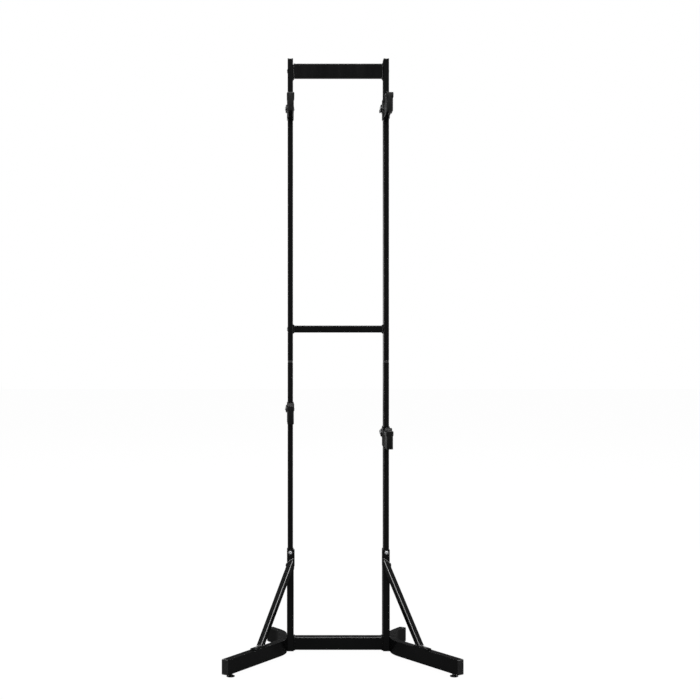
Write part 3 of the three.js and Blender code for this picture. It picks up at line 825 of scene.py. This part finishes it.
def lever_boss():
    """A low boss round the bore, with zero at the lever's face."""
    rings = [
        circle(LEVER_BORE + 2 * BOSS_SINK, -BOSS_SINK), circle(BOSS_RADIUS, -BOSS_SINK),
        circle(BOSS_RADIUS - BOSS_SINK, BOSS_RISE), circle(LEVER_BORE + 3 * BOSS_SINK, BOSS_RISE),
    ]
    return skin(rings, wrap=True)


def clamp_lever(name):
    """A lever's plate with the ribs of its grip and its boss."""
    low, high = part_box(name)
    thickness = high.x - low.x
    disc = (high.z - low.z) / 2
    reach = high.y - low.y - disc
    pivot = Vector(((low.x + high.x) / 2, low.y + disc, low.z + disc))
    place = Matrix.Translation(pivot) @ LEVER_TURN
    plate = rounded_plate(lever_outline(disc, reach), thickness, LEVER_EDGE, LEVER_BORE)
    parts = [placed(plate, place)]
    rib = placed(capsule(GRIP_RADIUS, GRIP_LENGTH), Matrix.Rotation(QUARTER_TURN, 4, "X"))
    for i in range(GRIP_COUNT):
        rib_place = (reach - LEVER_HALF - i * GRIP_SPACING, 0, thickness / 2 - GRIP_SINK)
        parts.append(placed(rib, place @ Matrix.Translation(rib_place)))
    parts.append(placed(lever_boss(), place @ Matrix.Translation((0, 0, thickness / 2))))
    return parts


def clamps():
    for arm in ARMS:
        carriage = f"{arm}_carriage"
        bolt = f"{arm}_clamp_bolt"
        nut = f"{arm}_clamp_nut"
        lever = f"{arm}_clamp_lever"
        make_piece(f"{bolt}_fine", [flat_bolt(bolt, (-1, 0, 0))], "zinc", carriage, [bolt])
        make_piece(f"{nut}_fine", [flange_nut(nut, (1, 0, 0))], "zinc", carriage, [nut])
        make_piece(f"{lever}_fine", clamp_lever(lever), "moulded_plastic", f"{arm}_lever", [lever])


# Cradles

def saddle_height(y, length):
    """The saddle's top above the arm: a round lip at each end and a trough with a flat, ribbed floor."""
    for reach, top, flat in ((y, FRONT_LIP, FLAT_START), (length - y, REAR_LIP, length - FLAT_END)):
        round_end = top - LIP / 2
        if reach < LIP:
            return round_end + math.sqrt(max(0, (LIP / 2) ** 2 - (reach - LIP / 2) ** 2))
        if reach < flat:
            share = (flat - reach) / (flat - LIP)
            rise = (round_end - SADDLE_FLOOR) * (1 - math.sqrt(max(0, 1 - share ** 2)))
            return SADDLE_FLOOR + rise + saddle_rib(y) * (1 - share)
    return SADDLE_FLOOR + saddle_rib(y)


def saddle_rib(y):
    return RIB_HEIGHT * abs(math.sin(math.pi * y / RIB_PITCH))


def front_share(y):
    """Share of the full half width that the bulged front has at a depth behind its foremost place."""
    depth = min(1, y / FRONT_BULGE)
    grown = (1 - (1 - depth) ** BULGE_POWER) ** (1 / BULGE_POWER)
    return BULGE_FLAT_SHARE + (1 - BULGE_FLAT_SHARE) * grown


def saddle_ring(y, length, half):
    """One slice across the saddle, with a slot below for the arm's top."""
    end = min(1, (length - y) / PAD_EDGE)
    wide = half * front_share(y) - PAD_EDGE * (1 - math.sqrt(1 - (1 - end) ** 2))
    top = SEAT + saddle_height(y, length)
    under = SEAT - BROW
    inner = min(ARM_HALF, SLOT_SHARE * wide)
    edge = min(PAD_EDGE, PAD_EDGE_SHARE * wide)
    right = [(inner, SEAT), (inner, under), (wide - PAD_LOW_EDGE, under), (wide, under + PAD_LOW_EDGE)]
    for turn in quarter_turns(PAD_EDGE_STEPS):
        right.append((wide - edge * (1 - math.cos(turn)), top - edge * (1 - math.sin(turn))))
    right.append((wide * CROWN_SHARE, top + CROWN_RISE))
    left = [(-x, z) for x, z in reversed(right)]
    return [(x, y, z) for x, z in right + left]


def saddle(length, half):
    """The saddle's slices from front to rear, close together at the two lips."""
    lip = [LIP / 2 * (1 - math.cos(math.pi * i / LIP_STEPS)) for i in range(LIP_STEPS + 1)]
    middle_count = round((length - 2 * LIP) / SADDLE_SLICE)
    middle = [LIP + (length - 2 * LIP) * i / middle_count for i in range(1, middle_count)]
    stations = lip + middle + [length - y for y in reversed(lip)]
    return skin([saddle_ring(y, length, half) for y in stations])


def skirt(length):
    """The skirt that hangs over the arm's end: two cheeks and a bulged front, as slices along a U."""
    half = ARM_HALF + SKIRT
    height = SEAT + SKIRT_OVERLAP
    halfway = (length + FRONT_BULGE) / 2
    route = [(1, length, length), (1, halfway, halfway)]
    for i, turn in enumerate(quarter_turns(SKIRT_STEPS)):
        share = math.cos(turn) ** (2 / BULGE_POWER) if i < SKIRT_STEPS else 0
        front = FRONT_BULGE * (1 - math.sin(turn) ** (2 / BULGE_POWER))
        route.append((share, FRONT_STEP + front, max(FRONT_WALL, FRONT_STEP + front)))
    rings = []
    for side, places in ((-1, route), (1, route[-2::-1])):
        for share, front, inner in places:
            rings.append(skirt_ring(side * share, front, inner, half, height))
    return skin(rings)


def skirt_ring(share, front, inner, half, height):
    """A slice through the skirt's wall, rounded along its lower edge."""
    outside = Vector((half * share, front, 0))
    inside = Vector((ARM_HALF * share, inner, 0))
    across = (inside - outside).normalized() * SKIRT_EDGE
    up = Vector(UP)
    return [
        outside + up * height, outside + up * SKIRT_EDGE, outside + across / 4 + up * SKIRT_EDGE / 4,
        outside + across, inside - across / 2, inside + up * SKIRT_EDGE / 2, inside + up * height,
    ]


def cradles():
    for arm in ARMS:
        name = f"{arm}_cradle"
        low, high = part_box(name)
        place = Matrix.Translation(((low.x + high.x) / 2, low.y, low.z))
        length = high.y - low.y
        parts = [placed(saddle(length, (high.x - low.x) / 2), place), placed(skirt(length), place)]
        make_piece(f"{name}_fine", parts, "rubber", f"{arm}_carriage", [name])


# Levelling feet

def scalloped(wide, height):
    """A circle with even scallops cut into it."""
    ring = []
    for turn in full_turns(FINE_CIRCLE_POINTS):
        reach = wide - SCALLOP_DEPTH * (1 + math.cos(SCALLOPS * turn)) / 2
        ring.append(polar(reach, turn, height))
    return ring


def foot_pad(radius):
    """A foot's moulded pad, with a scalloped rim and a hollow flare up to its neck."""
    rings = [
        circle(STUD, FOOT_CHAMFER, FINE_CIRCLE_POINTS),
        circle(radius / 2, FOOT_CHAMFER / 2, FINE_CIRCLE_POINTS),
        circle(radius - FOOT_SOLE_EDGE, 0, FINE_CIRCLE_POINTS),
        scalloped(radius - FOOT_CHAMFER, FOOT_CHAMFER / 4), scalloped(radius, FOOT_CHAMFER),
        scalloped(radius, FOOT_RIM - FOOT_CHAMFER / 2), scalloped(radius - FOOT_CHAMFER / 2, FOOT_RIM),
    ]
    flare = radius - FOOT_FLARE_EDGE - FOOT_NECK
    rise = FOOT_NECK_TOP - FOOT_RIM
    for turn in quarter_turns(FOOT_FLARE_STEPS)[1:]:
        wide = FOOT_NECK + flare * (1 - math.sin(turn))
        rings.append(circle(wide, FOOT_NECK_TOP - rise * math.cos(turn), FINE_CIRCLE_POINTS))
    rings.append(circle(STUD, FOOT_NECK_TOP, FINE_CIRCLE_POINTS))
    return skin(rings)


def levelling_feet():
    for side in OUTWARD:
        for end in ENDS:
            foot = f"{side}_{end}_foot"
            nut = f"{foot}_nut"
            low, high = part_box(foot)
            middle = (low + high) / 2
            place = Matrix.Translation((middle.x, middle.y, low.z))
            pad = placed(foot_pad((high.x - low.x) / 2), place)
            rod = placed(thread(STUD, FOOT_NECK_TOP - FOOT_CHAMFER, high.z - low.z), place)
            make_piece(f"{foot}_pad", [pad], "moulded_plastic", foot, [foot])
            make_piece(f"{foot}_stud", [rod], "zinc", foot)
            nut_low, nut_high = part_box(nut)
            ring = jam_nut(NUT_INNER, STUD + THREAD_FIT, nut_high.z - nut_low.z)
            nut_place = Matrix.Translation((middle.x, middle.y, nut_low.z))
            make_piece(f"{nut}_fine", [placed(ring, nut_place)], "zinc", "stand", [nut])


# Studio

def floor_material():
    """White to the camera. To other light it is dark near the object and pale further aside."""
    material = bpy.data.materials.new("pale_floor")
    material.use_nodes = True
    tree = material.node_tree
    tree.nodes.clear()
    lit = shader(tree, "ShaderNodeBsdfDiffuse", {"Color": (*grey(FLOOR_GREY), 1)})
    glow = shader(tree, "ShaderNodeEmission", {"Color": WHITE, "Strength": WHITE_LEVEL})
    coords = shader(tree, "ShaderNodeTexCoord").outputs["Object"]
    split = shader(tree, "ShaderNodeSeparateXYZ", {"Vector": coords}).outputs
    aside = computed(tree, "ABSOLUTE", split["X"])
    level = ranged(tree, aside, FLOOR_DISTANCES, FLOOR_GREYS)
    dim = shader(tree, "ShaderNodeBsdfDiffuse", {"Color": level})
    seen = mixed(tree, FLOOR_LIT_SHARE, glow, lit)
    surface = split_for_camera(tree, dim, seen)
    shader(tree, "ShaderNodeOutputMaterial", {"Surface": surface.outputs[0]})
    return material


def make_floor():
    half = FLOOR_SIZE / 2
    corners = [(-half, -half, 0), (half, -half, 0), (half, half, 0), (-half, half, 0)]
    mesh = bpy.data.meshes.new("studio_floor")
    mesh.from_pydata(corners, [], [(0, 1, 2, 3)])
    mesh.materials.append(floor_material())
    floor = bpy.data.objects.new("studio_floor", mesh)
    scene.collection.objects.link(floor)


def make_world():
    """White to the camera. Its other light is dim, with soft bands at the front, top, rear and sides."""
    world = bpy.data.worlds.new("studio")
    world.use_nodes = True
    scene.world = world
    tree = world.node_tree
    tree.nodes.clear()
    direction = shader(tree, "ShaderNodeTexCoord").outputs["Generated"]
    split = shader(tree, "ShaderNodeSeparateXYZ", {"Vector": direction}).outputs
    low = ranged(tree, split["Z"], *LOW_BAND)
    aside = computed(tree, "ABSOLUTE", split["X"])
    sides = ranged(tree, aside, *SIDE_BAND)
    rear = ranged(tree, split["Y"], *REAR_BAND)
    bands = [
        ranged(tree, split["Y"], *FRONT_BAND),
        ranged(tree, split["Z"], *TOP_BAND),
        computed(tree, "MULTIPLY", low, rear),
        computed(tree, "MULTIPLY", low, sides),
    ]
    level = WORLD_LEVEL
    for band in bands:
        level = computed(tree, "ADD", band, level)
    lit = shader(tree, "ShaderNodeBackground", {"Color": WHITE, "Strength": level})
    seen = shader(tree, "ShaderNodeBackground", {"Color": WHITE, "Strength": WHITE_LEVEL})
    surface = split_for_camera(tree, lit, seen)
    shader(tree, "ShaderNodeOutputWorld", {"Surface": surface.outputs[0]})


def softbox(name, place, target, size, power):
    """A flat light of a width and a height, turned to face its target."""
    data = bpy.data.lights.new(name, "AREA")
    data.shape = "RECTANGLE"
    data.size, data.size_y = size
    data.energy = power
    lamp = bpy.data.objects.new(name, data)
    lamp.location = place
    lamp.rotation_euler = (Vector(target) - Vector(place)).to_track_quat("-Z", "Y").to_euler()
    scene.collection.objects.link(lamp)


def make_lights():
    for side, outward in OUTWARD.items():
        x = outward * STRIP_ASIDE
        front = (x, -STRIP_DISTANCE, STRIP_HEIGHT)
        rear = (x, STRIP_DISTANCE, STRIP_HEIGHT)
        softbox(f"{side}_front_strip", front, STRIP_TARGET, STRIP_SIZE, FRONT_STRIP_POWER)
        softbox(f"{side}_rear_strip", rear, STRIP_TARGET, STRIP_SIZE, REAR_STRIP_POWER)
    front = (0, -PANEL_DISTANCE, PANEL_HEIGHT)
    rear = (0, PANEL_DISTANCE, PANEL_HEIGHT)
    softbox("front_panel", front, PANEL_TARGET, FRONT_PANEL_SIZE, FRONT_PANEL_POWER)
    softbox("rear_panel", rear, PANEL_TARGET, REAR_PANEL_SIZE, REAR_PANEL_POWER)


def make_camera():
    data = bpy.data.cameras.new("camera")
    data.sensor_width = CAMERA_SENSOR
    data.lens = CAMERA_LENS
    data.shift_x = CAMERA_SHIFT_SHARE
    camera = bpy.data.objects.new("camera", data)
    camera.location = CAMERA_PLACE
    camera.rotation_euler = (QUARTER_TURN, 0, 0)
    scene.collection.objects.link(camera)
    scene.camera = camera


dress_frame()
crossbar_welds()
arm_welds()
brace_welds()
stand_bolts()
clamps()
cradles()
levelling_feet()
make_floor()
make_world()
make_lights()
make_camera()
scene.view_settings.view_transform = "Standard"
scene.view_settings.look = "None"
